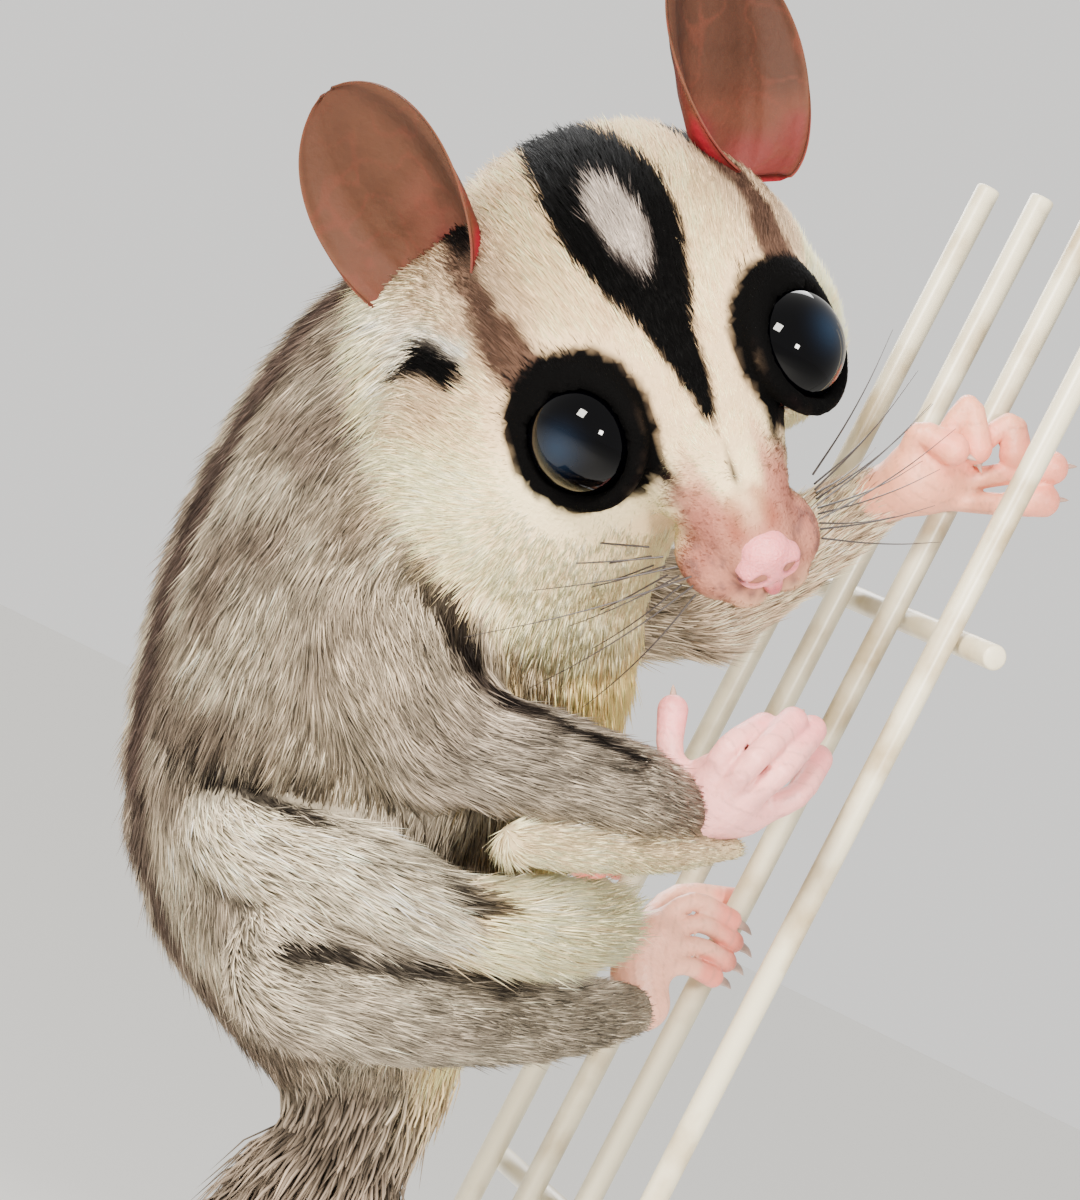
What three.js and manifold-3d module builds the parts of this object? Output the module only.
// A life-size sugar glider clinging to an upright wire perch on a display stand.
// Millimetres, +Z up, origin at the centre of the base plate's underside.
// The belly faces +X, toward the perch, and the animal's left side faces +Y.
import * as THREE from 'three';
import { mergeVertices } from 'three/addons/utils/BufferGeometryUtils.js';
import Module from 'manifold-3d';

const wasm = await Module();
wasm.setup();

// Driving sizes
const GAP = 0.3;
const PERCH = new THREE.Vector3(22, -5, 205);
const WIRE_R = 1.1;
const WIRE_Y = [22, 11, 0, -11];
const WIRE_BOTTOM = -56;
const WIRE_TOP = 52;
const BAR_Z = [13, -47];
const BAR_Y = [-16, 27];
const ROD_R = 2.2;
const BASE = { x: 130, y: 110, z: 8, corner: 10, bevel: 1 };
const EYE_R = 4.9;
const LID_OPEN = THREE.MathUtils.degToRad(69);
const FINGER_R = 1.05;
const TOE_R = 0.9;
const CLAW_R = 0.55;

// Colours
const COAT = 0x8f8478;
const PALE = 0xcfc3ab;
const EAR_SKIN = 0x9a6f5c;
const PAW_SKIN = 0xc98d78;
const EYE_BLACK = 0x0b0c12;
const WIRE_CREAM = 0xd8d0b8;
const STAND_GREY = 0x3a3b3d;

// Points given from a spot on the third wire at the height of the chest, moved to the part's own frame
const at = (x, y, z) => new THREE.Vector3(x, y, z).add(PERCH);

// The head's own frame: forward to the nose, left, and up to the crown
const HEAD_AT = at(-34.5, -8.8, 21.9);
const FORWARD = new THREE.Vector3(0.370, -0.830, -0.417).normalize();
const CROWN = new THREE.Vector3(-0.687, -0.546, 0.479).addScaledVector(FORWARD, 0.001).normalize();
const LEFT = new THREE.Vector3().crossVectors(CROWN, FORWARD).normalize();
const UP = new THREE.Vector3().crossVectors(FORWARD, LEFT).normalize();
const inHead = (x, y, z) => HEAD_AT.clone()
  .addScaledVector(FORWARD, x).addScaledVector(LEFT, y).addScaledVector(UP, z);
const headWay = (x, y, z) => inHead(x, y, z).sub(HEAD_AT).normalize();

// Closed solid from a geometry, turned so that its faces point out
function solid(geometry) {
  const g = geometry.clone();
  g.deleteAttribute('normal');
  g.deleteAttribute('uv');
  const merged = mergeVertices(g, 1e-4);
  const pos = merged.attributes.position.array;
  let tri = [];
  const idx = merged.index.array;
  for (let i = 0; i < idx.length; i += 3) {
    if (idx[i] !== idx[i + 1] && idx[i + 1] !== idx[i + 2] && idx[i] !== idx[i + 2]) {
      tri.push(idx[i], idx[i + 1], idx[i + 2]);
    }
  }
  let volume = 0;
  const [a, b, c] = [new THREE.Vector3(), new THREE.Vector3(), new THREE.Vector3()];
  for (let i = 0; i < tri.length; i += 3) {
    a.fromArray(pos, 3 * tri[i]);
    b.fromArray(pos, 3 * tri[i + 1]);
    c.fromArray(pos, 3 * tri[i + 2]);
    volume += a.dot(b.cross(c));
  }
  if (volume < 0) tri = tri.reverse();
  return new wasm.Manifold(new wasm.Mesh({
    numProp: 3, vertProperties: new Float32Array(pos), triVerts: new Uint32Array(tri),
  }));
}

// Skin through equal rings of points, fanned shut at both ends on the two poles
function loft(rings, firstPole, lastPole) {
  const sides = rings[0].length;
  const points = [...rings.flat(), firstPole, lastPole];
  const index = [];
  const last = (rings.length - 1) * sides;
  for (let j = 0; j < sides; j++) {
    const k = (j + 1) % sides;
    for (let i = 0; i < rings.length - 1; i++) {
      const [a, b] = [i * sides + j, i * sides + k];
      index.push(a, b, b + sides, a, b + sides, a + sides);
    }
    index.push(points.length - 2, k, j);
    index.push(points.length - 1, last + j, last + k);
  }
  const g = new THREE.BufferGeometry().setFromPoints(points);
  g.setIndex(index);
  return solid(g);
}

// Round-ended limb along a smooth curve. Each knot is [point, half size along ref, half size across],
// and grow swells it evenly for the cut that parts it from a neighbour.
function limb(knots, { sides = 12, steps = 3, ref = new THREE.Vector3(0, 0, 1), caps = 2 } = {}, grow = 0) {
  const path = new THREE.CatmullRomCurve3(knots.map((k) => k[0]), false, 'centripetal');
  const sizes = new THREE.CatmullRomCurve3(
    knots.map((k) => new THREE.Vector3(k[1], k[2] ?? k[1], 0)), false, 'catmullrom', 0.4);
  const count = (knots.length - 1) * steps;
  const rings = [];
  const ring = (centre, along, a, b) => {
    const p = ref.clone().addScaledVector(along, -ref.dot(along)).normalize();
    const q = new THREE.Vector3().crossVectors(along, p);
    return Array.from({ length: sides }, (_, j) => {
      const t = (2 * Math.PI * j) / sides;
      return centre.clone().addScaledVector(p, a * Math.cos(t)).addScaledVector(q, b * Math.sin(t));
    });
  };
  const end = (u, way) => {
    const centre = path.getPoint(u);
    const along = path.getTangent(u);
    const size = sizes.getPoint(u);
    const reach = Math.min(size.x, size.y) + grow;
    const out = [];
    for (let i = 1; i <= caps; i++) {
      const t = (i * Math.PI) / (2 * (caps + 1));
      const mid = centre.clone().addScaledVector(along, way * reach * Math.sin(t));
      out.push(ring(mid, along, (size.x + grow) * Math.cos(t), (size.y + grow) * Math.cos(t)));
    }
    return [out, centre.addScaledVector(along, way * reach)];
  };
  const [headRings, headPole] = end(0, -1);
  const [tailRings, tailPole] = end(1, 1);
  for (let i = 0; i <= count; i++) {
    const u = i / count;
    const size = sizes.getPoint(u);
    rings.push(ring(path.getPoint(u), path.getTangent(u), size.x + grow, size.y + grow));
  }
  return loft([...headRings.reverse(), ...rings, ...tailRings], headPole, tailPole);
}

// Ellipsoid with its half sizes along three directions
function blob(centre, [a, b, c], [x, y, z] = [[1, 0, 0], [0, 1, 0], [0, 0, 1]], grow = 0, detail = 14) {
  const g = new THREE.SphereGeometry(1, detail, Math.round(detail * 0.65));
  const [vx, vy, vz] = [x, y, z].map((v) => (v.isVector3 ? v : new THREE.Vector3(...v)));
  const turn = new THREE.Matrix4().makeBasis(
    vx.clone().multiplyScalar(a + grow), vy.clone().multiplyScalar(b + grow), vz.clone().multiplyScalar(c + grow));
  turn.setPosition(centre);
  g.applyMatrix4(turn);
  return solid(g);
}

const headBlob = (x, y, z, sizes, grow, detail) => blob(inHead(x, y, z), sizes, [FORWARD, LEFT, UP], grow, detail);

const join = (pieces) => pieces.slice(1).reduce((sum, piece) => sum.add(piece), pieces[0]);

function rod(start, end, radius, grow = 0, sides = 16) {
  const along = end.clone().sub(start);
  const g = new THREE.CylinderGeometry(radius + grow, radius + grow, along.length() + 2 * grow, sides);
  const turn = new THREE.Quaternion().setFromUnitVectors(new THREE.Vector3(0, 1, 0), along.clone().normalize());
  g.applyQuaternion(turn);
  g.translate(...start.clone().add(end).multiplyScalar(0.5).toArray());
  return solid(g);
}

// Skull, cheeks and muzzle: [forward, half width, top, bottom] at stations from nape to nose
const SKULL = [
  [-19.0, 7.0, 9.0, -6.0],
  [-16.5, 11.4, 13.2, -9.0],
  [-12.0, 14.4, 15.0, -12.0],
  [-6.5, 16.0, 15.0, -13.6],
  [-1.0, 16.2, 13.9, -14.2],
  [4.0, 14.8, 12.2, -13.8],
  [8.5, 12.0, 9.6, -12.6],
  [12.5, 8.8, 6.6, -11.4],
  [16.0, 6.2, 3.2, -10.4],
  [19.0, 4.6, 0.2, -9.6],
  [20.8, 3.3, -1.8, -8.6],
];

function skull(grow) {
  const sides = 20;
  const rings = SKULL.map(([x, wide, top, bottom]) => Array.from({ length: sides }, (_, j) => {
    const t = (2 * Math.PI * j) / sides;
    const mid = (top + bottom) / 2;
    const half = (top - bottom) / 2 + grow;
    const squash = (v) => Math.sign(v) * Math.abs(v) ** 0.92;
    return inHead(x, (wide + grow) * squash(Math.cos(t)), mid + half * squash(Math.sin(t)));
  }));
  return loft(rings, inHead(-20 - grow, 0, 0), inHead(22 + grow, 0, -5));
}

const sides = [1, -1];
const eyeAt = (s) => [8.4, 8.6 * s, 3.4];
const eyeWay = (s) => headWay(0.50, 0.70 * s, 0.51);

function eye(s, grow) {
  return blob(inHead(...eyeAt(s)), [EYE_R, EYE_R, EYE_R], undefined, grow, 14);
}

// Rim of a lid around the eye, a ring square to the way the eye looks
function lid(s, grow) {
  const g = new THREE.TorusGeometry(EYE_R * Math.sin(LID_OPEN) + 0.5, 0.85 + grow, 6, 18);
  const turn = new THREE.Quaternion().setFromUnitVectors(new THREE.Vector3(0, 0, 1), eyeWay(s));
  g.applyQuaternion(turn);
  const centre = inHead(...eyeAt(s)).addScaledVector(eyeWay(s), EYE_R * Math.cos(LID_OPEN));
  g.translate(...centre.toArray());
  return solid(g);
}

// Lower jaw under the mouth line, with the line itself a shallow curved groove
function jaw(grow) {
  return limb([
    [inHead(2, 0, -11.2), 3.2, 5.4],
    [inHead(10, 0, -11.6), 2.5, 3.8],
    [inHead(16.8, 0, -10.9), 1.6, 2.1],
  ], { sides: 11, steps: 2, ref: UP }, grow);
}

function mouthLine(s) {
  return limb([
    [inHead(20.9, 0.2 * s, -9.1), 0.35],
    [inHead(18.2, 3.6 * s, -9.9), 0.4],
    [inHead(14.0, 6.2 * s, -9.6), 0.4],
    [inHead(10.6, 8.6 * s, -8.2), 0.35],
  ], { sides: 6, steps: 3, ref: UP, caps: 1 });
}

function head(grow) {
  let body = join([
    skull(grow),
    jaw(grow),
    headBlob(21.3, 0, -4.4, [1.9, 2.5, 1.9], grow, 10),
    ...sides.flatMap((s) => [
      headBlob(-3.5, 10.6 * s, -6.5, [10.0, 7.6, 8.4], grow, 12),
      headBlob(16.8, 3.3 * s, -6.8, [4.2, 2.8, 3.0], grow, 10),
      headBlob(20.4, 1.7 * s, -8.3, [1.7, 2.0, 1.2], grow, 8),
      headBlob(4.8, 8.2 * s, 4.4, [6.8, 5.0, 5.0], grow, 10),
      lid(s, grow),
    ]),
  ]);
  if (grow > 0) return body;
  for (const s of sides) {
    body = body.subtract(mouthLine(s));
    body = body.subtract(headBlob(22.9, 1.25 * s, -4.6, [1.1, 0.62, 0.55], 0, 8));
    body = body.subtract(headBlob(22.2, 2.3 * s, -4.9, [0.9, 0.8, 0.3], 0, 8));
  }
  return body;
}

// Cupped ear: a thin sheet rolled round its opening, wide in the middle and round at the tip
const EAR = { length: 19.5, half: 7.2, cup: 5.0, thick: 0.8, rows: 8, cols: 8 };
const EAR_SPLAY = { 1: 0.43, [-1]: 0.26 };
const EAR_TURN = { 1: 0.42, [-1]: 0.62 };

function ear(s, grow) {
  const root = inHead(-7.1, 12.8 * s, 7.1);
  const up = headWay(-0.70, EAR_SPLAY[s] * s, 0.66);
  const face = headWay(0.62, EAR_TURN[s] * s, 0.40);
  const side = new THREE.Vector3().crossVectors(up, face).normalize();
  const open = new THREE.Vector3().crossVectors(side, up).normalize();
  const sheet = (i, j) => {
    const v = i / EAR.rows;
    const w = (2 * j) / EAR.cols - 1;
    const half = EAR.half * Math.sqrt(1 - ((v - 0.5) / 0.53) ** 2) * (0.86 + 0.14 * v) + 0.8 + grow;
    const roll = 1.75 - 1.15 * v;
    const across = (half * Math.sin(roll * w)) / Math.sin(Math.min(roll, Math.PI / 2));
    const fold = 0.35 * Math.cos(7 * w) * Math.sin(Math.PI * v);
    const deep = EAR.cup * (1 - 0.55 * v) * (Math.cos(roll * w) - 0.35) - fold;
    const lean = 2.6 * v * v;
    return root.clone()
      .addScaledVector(up, EAR.length * v + grow * (2 * v - 1))
      .addScaledVector(side, across)
      .addScaledVector(open, -deep - lean);
  };
  const grid = [];
  for (let i = 0; i <= EAR.rows; i++) {
    for (let j = 0; j <= EAR.cols; j++) {
      const [i0, i1] = [Math.max(i - 0.5, 0), Math.min(i + 0.5, EAR.rows)];
      const [j0, j1] = [Math.max(j - 0.5, 0), Math.min(j + 0.5, EAR.cols)];
      const du = sheet(i1, j).sub(sheet(i0, j));
      const dv = sheet(i, j1).sub(sheet(i, j0));
      grid.push([sheet(i, j), du.cross(dv).normalize()]);
    }
  }
  const half = EAR.thick / 2 + grow;
  const points = [
    ...grid.map(([point, way]) => point.clone().addScaledVector(way, half)),
    ...grid.map(([point, way]) => point.clone().addScaledVector(way, -half)),
  ];
  const cols = EAR.cols + 1;
  const back = grid.length;
  const index = [];
  for (let i = 0; i < EAR.rows; i++) {
    for (let j = 0; j < EAR.cols; j++) {
      const a = i * cols + j;
      index.push(a, a + 1, a + cols + 1, a, a + cols + 1, a + cols);
      index.push(back + a, back + a + cols + 1, back + a + 1, back + a, back + a + cols, back + a + cols + 1);
    }
  }
  const edge = [];
  for (let j = 0; j < EAR.cols; j++) edge.push(j);
  for (let i = 0; i < EAR.rows; i++) edge.push(i * cols + EAR.cols);
  for (let j = EAR.cols; j > 0; j--) edge.push(EAR.rows * cols + j);
  for (let i = EAR.rows; i > 0; i--) edge.push(i * cols);
  edge.forEach((a, k) => {
    const b = edge[(k + 1) % edge.length];
    index.push(a, back + a, back + b, a, back + b, b);
  });
  const g = new THREE.BufferGeometry().setFromPoints(points);
  g.setIndex(index);
  const pinna = solid(g);
  const foot = root.clone().addScaledVector(up, 1.5).addScaledVector(open, -2.5);
  const tragus = root.clone().addScaledVector(up, 5.5).addScaledVector(open, 2.2).addScaledVector(side, 4.6 * s);
  return join([
    pinna,
    blob(foot, [5.2, 4.6, 5.0], [side, open, up], grow, 9),
    blob(tragus, [1.3, 1.1, 3.4], [side, open, up], grow, 8),
  ]);
}

// Trunk: [height, forward middle, sideways middle, half depth, half width]
const TRUNK = [
  [-42, -21.8, 5.0, 6.3, 7.0],
  [-36.5, -25.0, 6.4, 10.6, 11.6],
  [-29.5, -29.6, 7.2, 15.6, 16.2],
  [-22, -33.4, 7.6, 20.2, 19.4],
  [-11, -36.2, 7.2, 21.8, 20.4],
  [-1, -38.6, 6.2, 20.8, 19.2],
  [8, -41.0, 5.0, 17.2, 16.4],
  [15, -42.0, 4.0, 12.0, 12.5],
];

function torso(grow) {
  const knots = TRUNK.map(([z, x, y, deep, wide]) => [at(x, y, z), deep, wide]);
  return limb(knots, { sides: 20, steps: 1, ref: new THREE.Vector3(1, 0, 0), caps: 2 }, grow);
}

function neck(grow) {
  return limb([
    [at(-39.4, 1.0, 4), 16.0, 15.6],
    [at(-38.0, -1.6, 12), 16.2, 16.0],
    [at(-37.5, -3.4, 21), 14.5, 14.6],
  ], { sides: 16, steps: 1, ref: new THREE.Vector3(1, 0, 0) }, grow);
}

// A paw: palm, then fingers as bent limbs with a claw on each tip
function finger(points, radius, grow, claw = 2.4, dip = [0, 0, -1]) {
  const knots = points.map(([x, y, z], i) => [at(x, y, z), radius * (i === points.length - 1 ? 1.08 : 0.95)]);
  const tip = knots[knots.length - 1][0];
  const way = tip.clone().sub(knots[knots.length - 2][0]).normalize();
  const bent = way.clone().addScaledVector(new THREE.Vector3(...dip), 0.9).normalize();
  const pieces = [limb(knots, { sides: 6, steps: 2, caps: 1, ref: new THREE.Vector3(0.3, 0.5, 0.8) }, grow)];
  if (claw > 0) {
    pieces.push(limb([
      [tip.clone().addScaledVector(way, radius * 0.4), CLAW_R],
      [tip.clone().addScaledVector(way, radius * 0.4 + claw * 0.55).addScaledVector(bent, 0.3), CLAW_R * 0.8],
      [tip.clone().addScaledVector(way, radius * 0.4 + claw * 0.7).addScaledVector(bent, claw * 0.45), CLAW_R * 0.5],
    ], { sides: 4, steps: 1, caps: 1, ref: new THREE.Vector3(0.3, 0.5, 0.8) }, grow));
  }
  return join(pieces);
}

const FREE_HAND = [
  [[-15.0, -14.4, -8.9], [-18.6, -13.8, -6.4], [-19.8, -12.6, -3.0]],
  [[-15.6, -16.1, -7.2], [-16.5, -18.4, -3.6], [-13.6, -16.4, -0.9]],
  [[-14.6, -17.0, -7.6], [-14.8, -20.2, -3.4], [-11.8, -17.0, 0.6]],
  [[-13.2, -17.4, -7.8], [-12.2, -20.0, -3.4], [-9.4, -15.8, 0.7]],
  [[-11.4, -16.6, -7.8], [-9.0, -18.0, -4.6], [-6.9, -14.2, -1.2]],
];

function handRight(grow) {
  return join([
    blob(at(-13.4, -15.2, -7.4), [3.6, 2.9, 3.1], undefined, grow, 10),
    ...FREE_HAND.map((points) => finger(points, FINGER_R, grow, 1.6, [0.2, 0.9, 0.1])),
  ]);
}

const GRIP_HAND = [
  [[-6.2, -3.4, 23.6], [-8.0, -5.0, 27.0], [-5.0, -6.2, 27.2]],
  [[-5.0, -3.6, 25.6], [-4.6, -4.2, 31.2], [-2.4, -4.6, 28.4]],
  [[-3.0, -3.4, 26.0], [-0.2, -3.8, 31.6], [1.4, -4.4, 29.6]],
  [[-2.4, -3.2, 24.8], [1.6, -4.2, 27.8], [4.6, -5.2, 30.0]],
  [[-2.4, -3.0, 23.4], [2.2, -4.4, 25.2], [5.2, -5.4, 27.2]],
];

function handLeft(grow) {
  return join([
    blob(at(-4.9, -3.4, 24.2), [3.2, 2.2, 3.2], undefined, grow, 10),
    ...GRIP_HAND.map((points) => finger(points, FINGER_R, grow, 1.6, [0.6, -0.4, -0.2])),
  ]);
}

// Hind foot of one side: heel, sole, three long toes over one wire and the big toe round the next
function foot(heel, s, grow) {
  const from = (x, y, z) => [heel[0] + x, heel[1] + y * s, heel[2] + z];
  const toes = [
    [from(-0.3, 2.1, 6.6), from(2.2, 2.8, 9.8), from(6.4, 3.2, 9.8)],
    [from(0.2, 1.7, 5.5), from(3.4, 2.2, 8.4), from(7.4, 2.9, 8.2)],
    [from(0.3, 0.7, 4.3), from(3.4, 1.0, 6.6), from(7.2, 2.0, 6.5)],
    [from(0.2, -0.2, 3.0), from(3.0, 0.0, 4.8), from(6.2, 0.9, 4.9)],
  ];
  return join([
    limb([
      [at(...from(0.8, -0.4, 0.4)), 2.5, 2.4],
      [at(...from(-0.4, 0.9, 3.0)), 2.5, 2.4],
      [at(...from(0.0, 1.6, 5.4)), 2.3, 2.2],
    ], { sides: 10, steps: 2, ref: new THREE.Vector3(0, 1, 0) }, grow),
    ...toes.map((points) => finger(points, TOE_R, grow, 2.0, [-0.2, 0.3 * s, -0.6])),
    finger([from(-0.6, 3.2, 5.8), from(3.0, 7.2, 9.4), from(8.4, 8.1, 11.0)], 1.25, grow, 0),
  ]);
}

// Limbs of the right side from the picture, and of the left side from the animal's own symmetry
const HEEL_RIGHT = [-7.6, -5.2, -26.6];
const HEEL_LEFT = [-7.6, 27.2, -25.2];

const forearmRight = (grow) => limb([
  [at(-37.6, -14.6, -13.0), 5.6, 5.4],
  [at(-32.0, -17.6, -12.0), 5.4, 5.2],
  [at(-23.4, -17.8, -10.6), 4.6, 4.6],
  [at(-15.6, -15.2, -9.8), 3.4, 3.4],
], { sides: 11, steps: 2 }, grow);

const armRight = (grow) => limb([
  [at(-44.0, -3.5, -5.5), 8.2, 7.8],
  [at(-41.6, -9.6, -9.4), 7.6, 7.2],
  [at(-38.6, -13.4, -12.4), 6.4, 6.0],
], { sides: 11, steps: 2 }, grow);

const forearmLeft = (grow) => limb([
  [at(-10.6, 11.0, 6.6), 5.0, 5.0],
  [at(-9.0, 7.0, 12.2), 4.7, 4.7],
  [at(-7.4, 1.4, 18.4), 3.7, 3.7],
  [at(-6.2, -2.0, 22.0), 2.9, 2.9],
], { sides: 11, steps: 2, ref: new THREE.Vector3(1, 0, 0) }, grow);

const armLeft = (grow) => limb([
  [at(-34.0, 16.5, -4.0), 8.0, 7.6],
  [at(-22.0, 16.0, 1.0), 6.6, 6.4],
  [at(-11.8, 12.2, 5.6), 5.2, 5.2],
], { sides: 11, steps: 2 }, grow);

const shankRight = (grow) => limb([
  [at(-37.5, -11.6, -35.2), 6.2, 5.8],
  [at(-30.8, -14.6, -33.6), 6.2, 5.6],
  [at(-18.8, -12.2, -30.6), 4.8, 4.4],
  [at(-8.4, -6.9, -27.2), 3.2, 3.0],
], { sides: 11, steps: 2 }, grow);

const thighRight = (grow) => limb([
  [at(-32.0, 2.0, -32.0), 9.6, 9.0],
  [at(-35.6, -6.0, -33.6), 8.4, 8.0],
  [at(-37.0, -9.8, -34.4), 7.4, 7.0],
], { sides: 11, steps: 2, ref: new THREE.Vector3(1, 0, 0) }, grow);

const shankLeft = (grow) => limb([
  [at(-36.0, 29.0, -30.0), 6.4, 6.0],
  [at(-27.0, 30.0, -31.0), 6.2, 5.6],
  [at(-16.5, 29.2, -29.4), 4.8, 4.4],
  [at(-9.6, 27.6, -26.6), 3.2, 3.0],
], { sides: 11, steps: 2 }, grow);

const thighLeft = (grow) => limb([
  [at(-34.0, 12.0, -31.5), 10.0, 9.5],
  [at(-36.0, 21.0, -31.0), 8.8, 8.2],
  [at(-36.6, 26.4, -30.4), 7.4, 7.0],
], { sides: 11, steps: 2, ref: new THREE.Vector3(1, 0, 0) }, grow);

// Gliding skin, drawn up into soft rolls along the flank and under the forearm
const flankRight = (grow) => limb([
  [at(-46.5, 2.6, -27.6), 4.0, 4.0],
  [at(-44.6, -5.6, -27.6), 4.8, 4.8],
  [at(-38.2, -12.6, -26.6), 5.2, 5.0],
  [at(-30.6, -16.6, -25.8), 4.3, 4.3],
  [at(-23.6, -17.0, -23.4), 4.5, 4.4],
  [at(-18.6, -15.0, -21.4), 4.0, 3.8],
], { sides: 11, steps: 2 }, grow);

const webRight = (grow) => limb([
  [at(-30.2, -20.8, -17.8), 2.1, 2.1],
  [at(-24.2, -20.4, -15.8), 2.2, 2.2],
  [at(-17.0, -18.4, -13.4), 1.9, 1.9],
  [at(-11.0, -15.9, -10.8), 1.4, 1.4],
], { sides: 11, steps: 2 }, grow);

const flankLeft = (grow) => limb([
  [at(-14.0, 14.6, 1.6), 3.0, 2.6],
  [at(-21.0, 24.0, -7.0), 3.8, 3.4],
  [at(-27.0, 28.6, -16.0), 4.2, 3.8],
  [at(-29.0, 30.0, -25.0), 4.2, 3.8],
], { sides: 11, steps: 2, ref: new THREE.Vector3(1, 0, 0) }, grow);

// Tail hanging in lengths, bushiest near its middle, with a slight curl toward the tip
const TAIL = new THREE.CatmullRomCurve3([
  at(-21.4, 5.0, -39), at(-20.8, 4.4, -57), at(-21.2, 3.8, -85), at(-22.2, 3.4, -112),
  at(-22.2, 3.6, -138), at(-19.0, 4.4, -160), at(-12.0, 5.4, -176), at(-3.6, 6.0, -181),
], false, 'centripetal');
const TAIL_CUTS = [0, 0.24, 0.5, 0.76, 1];
const tailHalf = (u) => 2.2 + 9.0 * Math.sin(Math.PI * (0.16 + 0.80 * u)) ** 0.75;

function tailLength(i, grow) {
  const [from, to] = [TAIL_CUTS[i], TAIL_CUTS[i + 1]];
  const knots = [0, 1, 2, 3].map((k) => {
    const u = from + ((to - from) * k) / 3;
    return [TAIL.getPoint(u), tailHalf(u), tailHalf(u)];
  });
  return limb(knots, { sides: 14, steps: 1, ref: new THREE.Vector3(0, 1, 0), caps: 2 }, grow);
}

// Perch of upright wires with two cross bars behind them
const wire = (y, grow) => rod(at(0, y, WIRE_BOTTOM), at(0, y, WIRE_TOP), WIRE_R, grow, 10);
const bar = (z, grow) => rod(
  at(2 * WIRE_R + GAP, BAR_Y[0], z), at(2 * WIRE_R + GAP, BAR_Y[1], z), WIRE_R, grow, 10);

// Stand: a flat plate with rounded corners, and two rods under the outer wires
function base() {
  const { x, y, z, corner, bevel } = BASE;
  const [hx, hy] = [x / 2 - bevel, y / 2 - bevel];
  const plate = new THREE.Shape();
  plate.moveTo(-hx + corner, -hy);
  plate.absarc(hx - corner, -hy + corner, corner, -Math.PI / 2, 0);
  plate.absarc(hx - corner, hy - corner, corner, 0, Math.PI / 2);
  plate.absarc(-hx + corner, hy - corner, corner, Math.PI / 2, Math.PI);
  plate.absarc(-hx + corner, -hy + corner, corner, Math.PI, 1.5 * Math.PI);
  const g = new THREE.ExtrudeGeometry(plate, {
    depth: z - 2 * bevel, bevelThickness: bevel, bevelSize: bevel, bevelSegments: 1, curveSegments: 3,
  });
  g.translate(0, 0, bevel);
  return solid(g);
}

const standRod = (y) => rod(
  new THREE.Vector3(PERCH.x, PERCH.y + y, BASE.z + GAP), at(0, y, WIRE_BOTTOM - GAP), ROD_R, 0, 20);

// Every node in the order that decides which of two neighbours gives way to the other
const NODES = [
  ['stand_base', base, STAND_GREY],
  ['stand_rod_1', () => standRod(WIRE_Y[0]), STAND_GREY],
  ['stand_rod_2', () => standRod(WIRE_Y[3]), STAND_GREY],
  ...WIRE_Y.map((y, i) => [`perch_wire_${i + 1}`, (grow) => wire(y, grow), WIRE_CREAM]),
  ...BAR_Z.map((z, i) => [`perch_bar_${i + 1}`, (grow) => bar(z, grow), WIRE_CREAM]),
  ['eye_left', (grow) => eye(1, grow), EYE_BLACK],
  ['eye_right', (grow) => eye(-1, grow), EYE_BLACK],
  ['head', head, COAT],
  ['neck', neck, COAT],
  ['ear_left', (grow) => ear(1, grow), EAR_SKIN],
  ['ear_right', (grow) => ear(-1, grow), EAR_SKIN],
  ['hand_left', handLeft, PAW_SKIN],
  ['hand_right', handRight, PAW_SKIN],
  ['foot_left', (grow) => foot(HEEL_LEFT, -1, grow), PAW_SKIN],
  ['foot_right', (grow) => foot(HEEL_RIGHT, 1, grow), PAW_SKIN],
  ['forearm_left', forearmLeft, COAT],
  ['forearm_right', forearmRight, COAT],
  ['shank_left', shankLeft, COAT],
  ['shank_right', shankRight, COAT],
  ['upper_arm_left', armLeft, COAT],
  ['upper_arm_right', armRight, COAT],
  ['thigh_left', thighLeft, COAT],
  ['thigh_right', thighRight, COAT],
  ['web_right', webRight, PALE],
  ['flank_left', flankLeft, PALE],
  ['flank_right', flankRight, PALE],
  ...[0, 1, 2, 3].map((i) => [`tail_${i + 1}`, (grow) => tailLength(i, grow), COAT]),
  ['torso', torso, COAT],
];

function boxesMeet(a, b) {
  const [p, q] = [a.boundingBox(), b.boundingBox()];
  return [0, 1, 2].every((k) => p.min[k] <= q.max[k] && q.min[k] <= p.max[k]);
}

const largest = (body) => body.decompose().sort((a, b) => b.volume() - a.volume())[0];

const glider = new THREE.Group();
const swollen = [];
for (const [name, make, color] of NODES) {
  let body = make(0);
  for (const other of swollen) {
    if (boxesMeet(body, other)) body = body.subtract(other);
  }
  body = largest(body);
  if (!name.startsWith('stand_')) swollen.push(make(GAP));
  const { vertProperties, triVerts } = body.getMesh();
  const geometry = new THREE.BufferGeometry();
  geometry.setAttribute('position', new THREE.BufferAttribute(new Float32Array(vertProperties), 3));
  geometry.setIndex(Array.from(triVerts));
  geometry.computeVertexNormals();
  const rough = color === EYE_BLACK ? 0.08 : 0.8;
  const material = new THREE.MeshStandardMaterial({ color, roughness: rough, metalness: 0 });
  const mesh = new THREE.Mesh(geometry, material);
  mesh.name = name;
  glider.add(mesh);
}

export default glider;
